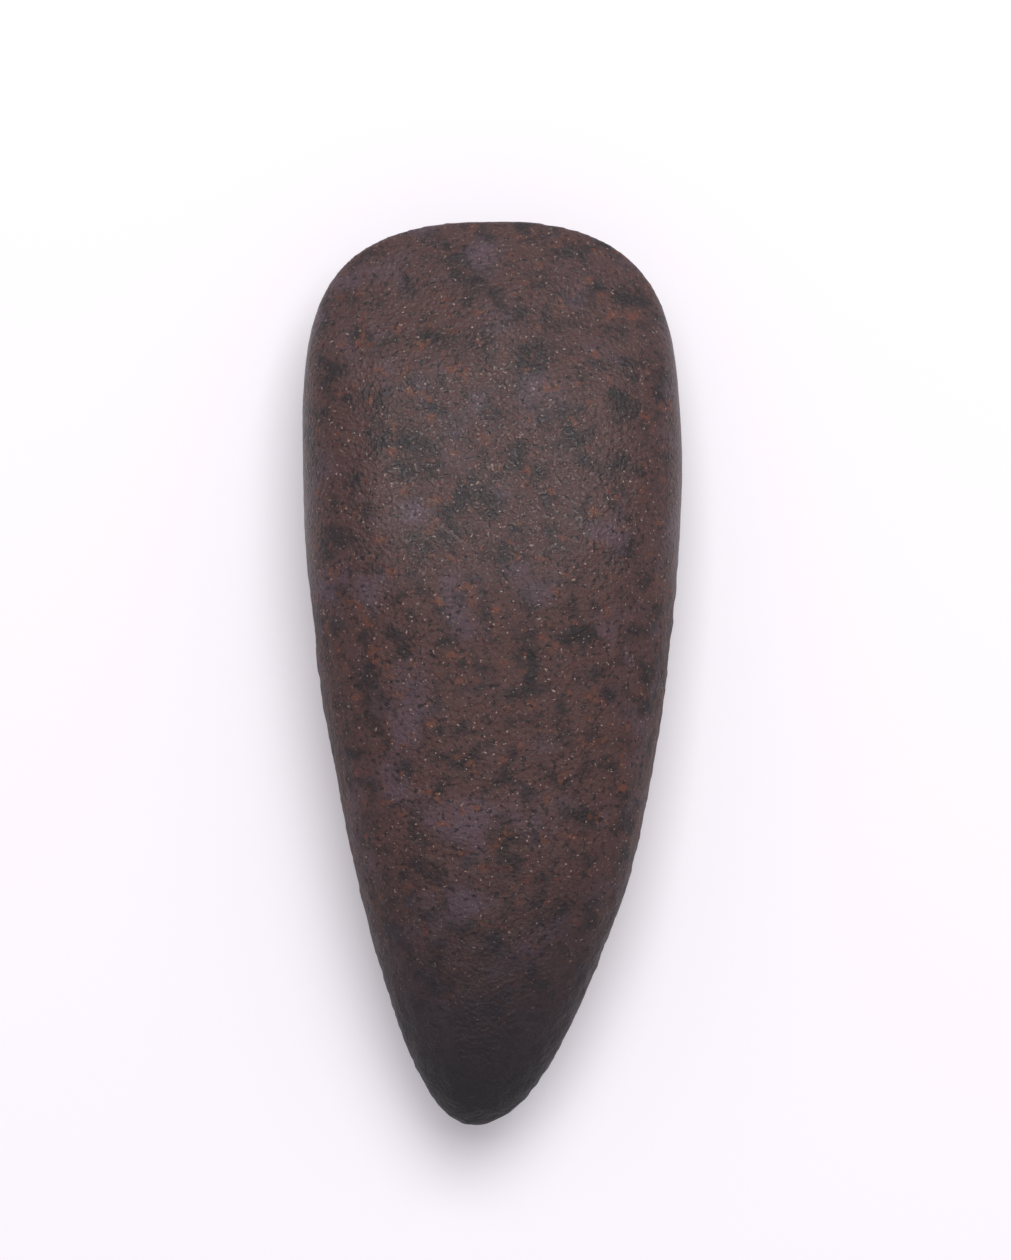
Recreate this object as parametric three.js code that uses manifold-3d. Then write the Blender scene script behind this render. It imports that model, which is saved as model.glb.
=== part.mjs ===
// A ground stone axe head, lying on its lower face as it would on a bench.
// It is one piece of hard, fine-grained dark rock: a broad curved cutting edge, two convex faces that
// meet in it, full rounded sides, and a body that narrows to a blunt, rounded butt.
// +Y points to the cutting edge, +X to the right seen from above and +Z up. The origin lies under the
// middle of the head, on the surface that it rests on. Lengths are in millimetres, angles in degrees.

import * as THREE from "three";
import { LoftGeometry } from "three/addons/geometries/LoftGeometry.js";
import { mergeVertices } from "three/addons/utils/BufferGeometryUtils.js";
import Module from "manifold-3d";

// Overall sizes
const headLength = 150; // crown of the cutting edge to the tip of the butt
const headWidth = 63; // across the sides, where the blade is widest
const headThickness = 38; // through the two faces, before any of them was ground flat

// Outline seen from above. Each side is a chain of three cubic curves, and a run is the length for
// which a curve keeps the direction that it starts or ends in.
const widestFromEdge = 41; // crown back to the widest station
const crownToRight = 0.5; // the edge stands furthest forward just right of the axis
const buttToLeft = 3; // the butt's tip has drifted to the left of the axis
const rightSide = {
  edgeRun: 25, // along the cutting edge, from its crown
  cornerRun: 31, // up the side, from the widest station to the corner of the blade
  sideRun: 22, // down the side, from the widest station
  kneeFromButt: 35, // station at which the side starts to close on the butt
  kneeOut: 21, // from the axis out to the side at the knee
  kneeSlant: 23, // of the side at the knee, against the axis
  aboveKneeRun: 15,
  belowKneeRun: 12.5,
  buttRun: 12, // across the butt, out from its tip
};
const leftSide = {
  edgeRun: 33,
  cornerRun: 23,
  sideRun: 27,
  kneeFromButt: 34.5,
  kneeOut: 21,
  kneeSlant: 14.5,
  aboveKneeRun: 18,
  belowKneeRun: 11.5,
  buttRun: 9.5,
};

// Side view. The faces part from the middle plane by a height that is greatest at the thickest
// station and falls off to both ends, where the bevel and the rounding of the butt take over.
const thickestFromEdge = 82;
const heightAtEdge = 6.5; // to which the face would fall at the crown, if the bevel didn't cut it
const heightAtButt = 10; // the same at the butt's tip
const bevelPitch = 17; // slope of the face where it reaches the edge
const buttPitch = 11; // slope of the face where it reaches the butt
const bellyToEdgeRun = 34; // for which the face stays level from the thickest station
const bellyToButtRun = 28;
const edgeBevel = 21; // length of the bevel behind the crown of the edge
const buttRounding = 24; // length of the rounding in front of the butt's tip

// Cross-section: a superellipse, of which the fullness is the exponent. 2 is an ellipse, more is
// closer to a rounded box, and less runs out to a keen edge.
const edgeFullness = 1.45;
const sideFullness = 2.7;
const buttFullness = 2.05;
const edgeBlend = 26; // over which the keen section fills out to the side's
const buttBlend = 40; // over which the side's section rounds off to the butt's

// Facets that were ground or worn flat on a slab
const restGround = 0.6; // taken off the lower face at its lowest, where the head lies
const cheekGround = 1; // taken off the face at the middle of each cheek
const cheekFromEdge = 39; // middle of the cheek's facet, back from the crown
const cheekPitch = 7.5; // by which a cheek's facet dips towards the edge
const upperCheekRoll = 1.5; // by which the upper one dips to the left as well

// Fineness of the mesh
const stationCount = 70; // steps from the crown to the butt
const sectionCount = 44; // steps round a section

const edgeY = headLength / 2;
const buttY = -headLength / 2;
const widestY = edgeY - widestFromEdge;
const thickestY = edgeY - thickestFromEdge;
const halfThickness = headThickness / 2;
const middleZ = halfThickness - restGround; // plane of the cutting edge, above the rest

const crown = new THREE.Vector2(crownToRight, edgeY);
const buttTip = new THREE.Vector2(-buttToLeft, buttY);

// One side of the outline, from the crown to the butt's tip. The sign is 1 on the right.
function sideOfOutline(side, sign) {
  const widest = new THREE.Vector2((sign * headWidth) / 2, widestY);
  const knee = new THREE.Vector2(sign * side.kneeOut, buttY + side.kneeFromButt);
  const slant = THREE.MathUtils.degToRad(side.kneeSlant);
  const downKnee = new THREE.Vector2(-sign * Math.sin(slant), -Math.cos(slant));
  const outline = new THREE.CurvePath();
  outline.add(
    new THREE.CubicBezierCurve(
      crown,
      new THREE.Vector2(crown.x + sign * side.edgeRun, crown.y),
      new THREE.Vector2(widest.x, widest.y + side.cornerRun),
      widest,
    ),
  );
  outline.add(
    new THREE.CubicBezierCurve(
      widest,
      new THREE.Vector2(widest.x, widest.y - side.sideRun),
      knee.clone().addScaledVector(downKnee, -side.aboveKneeRun),
      knee,
    ),
  );
  outline.add(
    new THREE.CubicBezierCurve(
      knee,
      knee.clone().addScaledVector(downKnee, side.belowKneeRun),
      new THREE.Vector2(buttTip.x + sign * side.buttRun, buttTip.y),
      buttTip,
    ),
  );
  return outline;
}

// Height of a face above the middle plane, along the head, as a curve of (y, height)
const towardsEdge = THREE.MathUtils.degToRad(bevelPitch);
const towardsButt = THREE.MathUtils.degToRad(buttPitch);
const bevelRun = (edgeY - thickestY) / 3;
const buttEndRun = (thickestY - buttY) / 3;
const belly = new THREE.Vector2(thickestY, halfThickness);
const faceToButt = new THREE.CubicBezierCurve(
  new THREE.Vector2(buttY, heightAtButt),
  new THREE.Vector2(buttY + buttEndRun, heightAtButt + buttEndRun * Math.tan(towardsButt)),
  new THREE.Vector2(belly.x - bellyToButtRun, belly.y),
  belly,
);
const faceToEdge = new THREE.CubicBezierCurve(
  belly,
  new THREE.Vector2(belly.x + bellyToEdgeRun, belly.y),
  new THREE.Vector2(edgeY - bevelRun, heightAtEdge + bevelRun * Math.tan(towardsEdge)),
  new THREE.Vector2(edgeY, heightAtEdge),
);

// Both curves run steadily along y, so halving finds the point at a given station.
function faceHeight(y) {
  const curve = y < thickestY ? faceToButt : faceToEdge;
  let low = 0;
  let high = 1;
  for (let step = 0; step < 24; step++) {
    const middle = (low + high) / 2;
    if (curve.getPoint(middle).x < y) low = middle;
    else high = middle;
  }
  return curve.getPoint((low + high) / 2).y;
}

function fullnessAt(y) {
  const edge = THREE.MathUtils.smoothstep(y, edgeY - edgeBlend, edgeY - edgeBlend / 5);
  const butt = 1 - THREE.MathUtils.smoothstep(y, buttY, buttY + buttBlend);
  return (
    sideFullness + (edgeFullness - sideFullness) * edge + (buttFullness - sideFullness) * butt
  );
}

// A section starts at the right rim, climbs over the upper face to the left rim and comes back under
// the lower one. Its ends bend forward or back with the rim, so the stations fan out round the corners
// of the blade and round the butt, and the first and last sections fold up on the axis.
function sectionThrough(rightRim, leftRim) {
  const rimY = (rightRim.y + leftRim.y) / 2;
  const crestY = THREE.MathUtils.mapLinear(rimY, buttY, edgeY, buttY + buttRounding, edgeY - edgeBevel);
  const crest = new THREE.Vector2((rightRim.x + leftRim.x) / 2, crestY);
  const power = 2 / fullnessAt(rimY);
  const points = [];
  for (let step = 0; step < sectionCount; step++) {
    const turn = (step / sectionCount) * 2 * Math.PI;
    const rim = Math.cos(turn) > 0 ? rightRim : leftRim;
    const plan = crest.clone().lerp(rim, Math.abs(Math.cos(turn)) ** power);
    const rise = Math.sign(Math.sin(turn)) * Math.abs(Math.sin(turn)) ** power;
    points.push(new THREE.Vector3(plan.x, plan.y, middleZ + rise * faceHeight(plan.y)));
  }
  return points;
}

const rightRim = sideOfOutline(rightSide, 1).getSpacedPoints(stationCount);
const leftRim = sideOfOutline(leftSide, -1).getSpacedPoints(stationCount);
const sections = rightRim.map((rim, station) => sectionThrough(rim, leftRim[station]));

// Solids are joined and cut by manifold-3d, which wants shared vertices and no other attributes.
const wasm = await Module();
wasm.setup();

function solidOf(geometry) {
  geometry.deleteAttribute("normal");
  geometry.deleteAttribute("uv");
  const merged = mergeVertices(geometry, 1e-3);
  return new wasm.Manifold(
    new wasm.Mesh({
      numProp: 3,
      vertProperties: merged.attributes.position.array,
      triVerts: new Uint32Array(merged.index.array),
    }),
  );
}

function geometryOf(solid) {
  const mesh = solid.getMesh();
  const geometry = new THREE.BufferGeometry();
  geometry.setAttribute("position", new THREE.BufferAttribute(mesh.vertProperties, 3));
  geometry.setIndex(new THREE.BufferAttribute(mesh.triVerts, 1));
  geometry.computeVertexNormals();
  return geometry;
}

// The waste that a flat slab grinds away: a block whose face lies on the facet's plane. The facet is
// given by a point on it and by the way it faces.
function wasteAbove(point, facing) {
  const size = 2 * headLength;
  const block = new THREE.BoxGeometry(size, size, size);
  block.translate(0, 0, size / 2);
  block.applyQuaternion(
    new THREE.Quaternion().setFromUnitVectors(new THREE.Vector3(0, 0, 1), facing),
  );
  block.translate(point.x, point.y, point.z);
  return solidOf(block);
}

// A cheek's facet dips towards the edge, and rolls to the left by the given angle. The sign is 1 on
// the upper face.
function cheekWaste(roll, sign) {
  const y = edgeY - cheekFromEdge;
  const point = new THREE.Vector3(0, y, middleZ + sign * (faceHeight(y) - cheekGround));
  const facing = new THREE.Vector3(0, 0, sign);
  facing.applyEuler(
    new THREE.Euler(
      THREE.MathUtils.degToRad(-sign * cheekPitch),
      THREE.MathUtils.degToRad(-sign * roll),
      0,
    ),
  );
  return wasteAbove(point, facing);
}

const restWaste = wasteAbove(new THREE.Vector3(0, 0, 0), new THREE.Vector3(0, 0, -1));

const headSolid = solidOf(new LoftGeometry(sections))
  .subtract(restWaste)
  .subtract(cheekWaste(upperCheekRoll, 1))
  .subtract(cheekWaste(0, -1));

const darkStone = new THREE.MeshStandardMaterial({ color: 0x462e2c, roughness: 0.7, metalness: 0 });

const axeHead = new THREE.Mesh(geometryOf(headSolid), darkStone);
axeHead.name = "axe_head";

const stoneAxe = new THREE.Group();
stoneAxe.add(axeHead);

export default stoneAxe;
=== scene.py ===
# %% [markdown]
# A stone axe head, lying flat, seen from straight above. It is a single ground stone, so there is one
# piece to dress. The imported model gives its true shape, and everything here follows that frame.

import bmesh
import bpy
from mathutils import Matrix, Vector, noise


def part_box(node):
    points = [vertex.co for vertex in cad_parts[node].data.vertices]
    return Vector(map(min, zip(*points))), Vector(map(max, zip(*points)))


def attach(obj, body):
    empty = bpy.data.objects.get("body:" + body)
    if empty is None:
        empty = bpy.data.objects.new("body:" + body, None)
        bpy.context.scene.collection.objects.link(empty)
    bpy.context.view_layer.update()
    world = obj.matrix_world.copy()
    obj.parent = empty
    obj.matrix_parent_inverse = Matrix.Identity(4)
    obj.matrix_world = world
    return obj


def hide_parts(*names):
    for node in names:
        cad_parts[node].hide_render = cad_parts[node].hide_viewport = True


MM = 0.001  # the scene is in metres

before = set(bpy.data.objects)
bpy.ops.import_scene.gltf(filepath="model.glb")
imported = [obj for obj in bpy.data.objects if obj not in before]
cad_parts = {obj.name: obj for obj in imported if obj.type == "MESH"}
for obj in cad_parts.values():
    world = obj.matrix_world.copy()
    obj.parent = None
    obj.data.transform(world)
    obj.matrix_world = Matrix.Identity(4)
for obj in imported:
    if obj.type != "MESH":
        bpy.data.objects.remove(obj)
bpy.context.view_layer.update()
low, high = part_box("axe_head")
print("head, mm:", [round((top - bottom) / MM, 1) for bottom, top in zip(low, high)])

# %% [markdown]
# The skin is the whole outside of the stone. It could be modelled afresh, but the solid has the true
# outline already, so the skin starts as a copy of it. The solid's triangles are loose, so the copy's
# corners are merged first.

# %% Copy the solid
MERGE_WITHIN = 0.001 * MM

solid = bpy.data.objects["axe_head"]
merged = bmesh.new()
merged.from_mesh(solid.data)
bmesh.ops.remove_doubles(merged, verts=merged.verts, dist=MERGE_WITHIN)
skin_mesh = bpy.data.meshes.new("axe_skin")
merged.to_mesh(skin_mesh)
merged.free()
skin = bpy.data.objects.new("axe_skin", skin_mesh)
bpy.context.scene.collection.objects.link(skin)
print("copied points:", len(skin_mesh.vertices))

# %% [markdown]
# The copy's faces are long and uneven, and too large to hold a peck mark. Subdividing would keep them
# uneven, so a voxel remesh lays small faces of one size over the whole stone.

# %% Give the skin even faces
VOXEL = 0.6 * MM

remesh = skin.modifiers.new("even faces", "REMESH")
remesh.mode = "VOXEL"
remesh.voxel_size = VOXEL
bpy.context.view_layer.update()
evaluated = skin.evaluated_get(bpy.context.evaluated_depsgraph_get())
even_mesh = bpy.data.meshes.new_from_object(evaluated)
skin.modifiers.clear()
skin.data = even_mesh
print("skin points:", len(even_mesh.vertices))

# %% [markdown]
# A real head was pecked to shape with a hammerstone and then ground on a slab. It has slow lumps, peck
# marks of a few millimetres and small chips, and the blade's end is ground nearly smooth. A bump map
# alone would leave the outline perfect, so the points themselves are moved. Wear takes stone away, so
# it only moves them inwards, which keeps the head at its real size.

# %% Say how deep the wear goes at a point
LUMP_SIZE = 13 * MM
LUMP_DEPTH = 0.5 * MM
PECK_SIZE = 2.6 * MM
PECK_DEPTH = 0.42 * MM
PECK_SHIFT = Vector((7, 3, 1))  # sets the pecks' noise apart from the lumps'
CHIP_SIZE = 1.3 * MM
CHIP_DEPTH = 0.24 * MM
CHIP_SHIFT = Vector((2, 9, 4))
CHEEK_FROM = 5 * MM  # y at which the grinding begins to show
CHEEK_TO = 25 * MM  # y from which it is complete
GROUND_AWAY = 0.75  # share of the pecks and chips that the grinding took off


def ramp(value, start, end):
    share = min(max((value - start) / (end - start), 0), 1)
    return share * share * (3 - 2 * share)


def hollow(point, size, shift):
    return 0.5 + 0.5 * noise.noise(point / size + shift)


def wear(point):
    lumps = hollow(point, LUMP_SIZE, Vector()) * LUMP_DEPTH
    pecks = hollow(point, PECK_SIZE, PECK_SHIFT) * PECK_DEPTH
    chips = hollow(point, CHIP_SIZE, CHIP_SHIFT) * CHIP_DEPTH
    left = 1 - GROUND_AWAY * ramp(point.y, CHEEK_FROM, CHEEK_TO)
    return lumps + left * (pecks + chips)


print("deepest wear, mm:", round((LUMP_DEPTH + PECK_DEPTH + CHIP_DEPTH) / MM, 2))

# %% [markdown]
# The facets of the solid end in crisp rims, which handling has rounded on the real stone. Smoothing
# comes first for that, and the wear after it, so that the marks stay sharp.

# %% Round the rims and wear the surface
SMOOTHINGS = 14
SMOOTHING = 0.5

worn = bmesh.new()
worn.from_mesh(skin.data)
for smoothing in range(SMOOTHINGS):
    bmesh.ops.smooth_vert(
        worn, verts=worn.verts, factor=SMOOTHING, use_axis_x=True, use_axis_y=True, use_axis_z=True
    )
worn.normal_update()
moves = [(vert, vert.normal * -wear(vert.co)) for vert in worn.verts]
for vert, move in moves:
    vert.co += move
for face in worn.faces:
    face.smooth = True
worn.to_mesh(skin.data)
worn.free()
print("deepest move, mm:", round(max(move.length for vert, move in moves) / MM, 2))

# %% [markdown]
# The stone is a fine-grained dark rock, red-brown, with violet and rust patches and dark mineral
# grains. Its pale specks are pale mineral grains, partly painted glints on the grains. Towards the
# butt the colour turns darker and bluish, partly for the real patina there and partly as painted
# shade, where less light falls on the butt. A picture of it would show seams on the sides. The
# colour is mixed from noise at real sizes instead, on Object coordinates, so that it runs through the
# stone and looks right from every side.

# %% Set out the stone's nodes
stone = bpy.data.materials.new("ground_dark_stone")
stone.use_nodes = True
nodes = stone.node_tree.nodes
links = stone.node_tree.links
shader = nodes["Principled BSDF"]
place = nodes.new("ShaderNodeTexCoord").outputs["Object"]


def mask(value, start, end):
    limits = nodes.new("ShaderNodeMapRange")
    limits.interpolation_type = "SMOOTHSTEP"
    limits.inputs["From Min"].default_value = start
    limits.inputs["From Max"].default_value = end
    links.new(value, limits.inputs["Value"])
    return limits.outputs["Result"]


def grain(size, detail, start, end):
    texture = nodes.new("ShaderNodeTexNoise")
    texture.inputs["Scale"].default_value = 1 / size
    texture.inputs["Detail"].default_value = detail
    links.new(place, texture.inputs["Vector"])
    return mask(texture.outputs["Fac"], start, end)


def along(start, end):
    split = nodes.new("ShaderNodeSeparateXYZ")
    links.new(place, split.inputs["Vector"])
    return mask(split.outputs["Y"], start, end)


def blend(where, under, over):
    mix = nodes.new("ShaderNodeMix")
    mix.data_type = "RGBA"
    links.new(where, mix.inputs["Factor"])
    if isinstance(under, tuple):
        mix.inputs["A"].default_value = under
    else:
        links.new(under, mix.inputs["A"])
    mix.inputs["B"].default_value = over
    return mix.outputs["Result"]


# %% Mix the stone's colour
DARK = (0.0105, 0.0055, 0.0060, 1)
MID = (0.062, 0.026, 0.022, 1)
RUST = (0.115, 0.036, 0.018, 1)
VIOLET = (0.078, 0.046, 0.058, 1)
# The butt's colour: its real patina, darkened further with painted shade for the light that falls off
# towards the butt.
PATINA_AND_SHADE = (0.0075, 0.0050, 0.0085, 1)
# Pale specks: pale mineral grains, partly painted glints on the grains.
PALE_GRAIN_AND_GLINT = (0.30, 0.22, 0.18, 1)
PATINA_AND_SHADE_FROM = -22 * MM  # y at which the patina begins
PATINA_AND_SHADE_TO = -70 * MM  # y from which it covers the butt

colour = blend(grain(size=4 * MM, detail=10, start=0.32, end=0.55), DARK, MID)
colour = blend(grain(size=9 * MM, detail=10, start=0.50, end=0.72), colour, VIOLET)
colour = blend(grain(size=2.5 * MM, detail=10, start=0.56, end=0.74), colour, RUST)
colour = blend(grain(size=0.8 * MM, detail=6, start=0.52, end=0.68), colour, DARK)
# Pale specks: pale mineral grains with painted glints.
colour = blend(grain(size=0.5 * MM, detail=2, start=0.66, end=0.74), colour, PALE_GRAIN_AND_GLINT)
# Darker and bluish towards the butt: real patina plus painted shade.
colour = blend(along(PATINA_AND_SHADE_FROM, PATINA_AND_SHADE_TO), colour, PATINA_AND_SHADE)
links.new(colour, shader.inputs["Base Color"])
print("stone nodes so far:", len(nodes))

# %% [markdown]
# Grinding left the blade's end smoother, so it has a soft sheen where the rest is dull. The finest
# grain is too small for the mesh, and a bump gives it.

# %% Set the sheen and the finest grain
PECKED_ROUGHNESS = 0.66
GROUND_ROUGHNESS = 0.44
BUMP_DEPTH = 0.14 * MM

sheen = nodes.new("ShaderNodeMapRange")
sheen.inputs["To Min"].default_value = PECKED_ROUGHNESS
sheen.inputs["To Max"].default_value = GROUND_ROUGHNESS
links.new(along(CHEEK_FROM, CHEEK_TO), sheen.inputs["Value"])
links.new(sheen.outputs["Result"], shader.inputs["Roughness"])

bump = nodes.new("ShaderNodeBump")
bump.inputs["Distance"].default_value = BUMP_DEPTH
bump.inputs["Strength"].default_value = 1
links.new(grain(size=0.7 * MM, detail=4, start=0.3, end=0.7), bump.inputs["Height"])
links.new(bump.outputs["Normal"], shader.inputs["Normal"])
print("stone nodes:", len(nodes))

# %% Put the skin in the solid's place
skin.data.materials.clear()
skin.data.materials.append(stone)
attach(skin, "root")
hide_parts("axe_head")

# %% [markdown]
# The head lies on a white floor that keeps its soft shadow. More light would whiten the floor but wash
# out the stone, so the floor has a faint glow instead. Only the camera and reflections see it, and it
# puts no light on the stone.

# %% Lay the floor
FLOOR_SIZE = 6

floor_mesh = bpy.data.meshes.new("floor")
floor_shape = bmesh.new()
bmesh.ops.create_grid(floor_shape, x_segments=1, y_segments=1, size=FLOOR_SIZE / 2)
floor_shape.to_mesh(floor_mesh)
floor_shape.free()
floor = bpy.data.objects.new("floor", floor_mesh)
bpy.context.scene.collection.objects.link(floor)
print("floor, m:", FLOOR_SIZE)

# %% Make the floor white
FLOOR_WHITE = (0.86, 0.84, 0.87, 1)
GLOW_WHITE = (1, 1, 1, 1)
GLOW_STRENGTH = 0.12

paper = bpy.data.materials.new("white_paper")
paper.use_nodes = True
paper_nodes = paper.node_tree.nodes
paper_links = paper.node_tree.links
paper_shader = paper_nodes["Principled BSDF"]
paper_shader.inputs["Base Color"].default_value = FLOOR_WHITE
paper_shader.inputs["Roughness"].default_value = 1
paper_shader.inputs["Emission Color"].default_value = GLOW_WHITE
rays = paper_nodes.new("ShaderNodeLightPath")
seen = rays.outputs["Is Camera Ray"]
for ray in ("Is Glossy Ray", "Is Transmission Ray"):
    either = paper_nodes.new("ShaderNodeMath")
    either.operation = "MAXIMUM"
    paper_links.new(seen, either.inputs[0])
    paper_links.new(rays.outputs[ray], either.inputs[1])
    seen = either.outputs[0]
glow = paper_nodes.new("ShaderNodeMath")
glow.operation = "MULTIPLY"
glow.inputs[1].default_value = GLOW_STRENGTH
paper_links.new(seen, glow.inputs[0])
paper_links.new(glow.outputs[0], paper_shader.inputs["Emission Strength"])
floor_mesh.materials.append(paper)

# %% [markdown]
# One large lamp stands nearly overhead, a little towards the blade, so that the shadow falls towards
# the butt. Several small lamps would give several shadows. A slightly lavender world fills the rest.

# %% Light the head
LAMP_PLACE = (0.08, 0.42, 1.05)
LAMP_SIZE = 0.7
LAMP_POWER = 10  # watts
FILL_COLOUR = (0.92, 0.84, 0.94, 1)
FILL_STRENGTH = 0.45

lamp = bpy.data.lights.new("soft_overhead", "AREA")
lamp.size = LAMP_SIZE
lamp.energy = LAMP_POWER
lamp_object = bpy.data.objects.new("soft_overhead", lamp)
lamp_object.location = LAMP_PLACE
lamp_object.rotation_euler = (-lamp_object.location).to_track_quat("-Z", "Y").to_euler()
bpy.context.scene.collection.objects.link(lamp_object)
world = bpy.data.worlds.new("fill")
world.use_nodes = True
background = world.node_tree.nodes["Background"]
background.inputs["Color"].default_value = FILL_COLOUR
background.inputs["Strength"].default_value = FILL_STRENGTH
bpy.context.scene.world = world
print("lamp distance, m:", round(lamp_object.location.length, 2))

# %% [markdown]
# The photograph looks straight down. A camera without a turn looks along -Z with +Y up, so it only
# needs its place, and a lens that frames the right height at the level of the head's outline.

# %% Look straight down
CAMERA_X = 2.2 * MM
CAMERA_Y = 7.1 * MM
CAMERA_ABOVE_RIM = 0.9
RIM_HEIGHT = 18.4 * MM
VIEW_HEIGHT = 207 * MM
SENSOR_MM = 36

camera = bpy.data.cameras.new("overhead")
camera.sensor_fit = "VERTICAL"
camera.sensor_height = SENSOR_MM
camera.lens = SENSOR_MM * CAMERA_ABOVE_RIM / VIEW_HEIGHT
camera_object = bpy.data.objects.new("overhead", camera)
camera_object.location = (CAMERA_X, CAMERA_Y, RIM_HEIGHT + CAMERA_ABOVE_RIM)
bpy.context.scene.collection.objects.link(camera_object)
bpy.context.scene.camera = camera_object
bpy.context.scene.view_settings.view_transform = "Standard"
print("lens, mm:", round(camera.lens, 1))
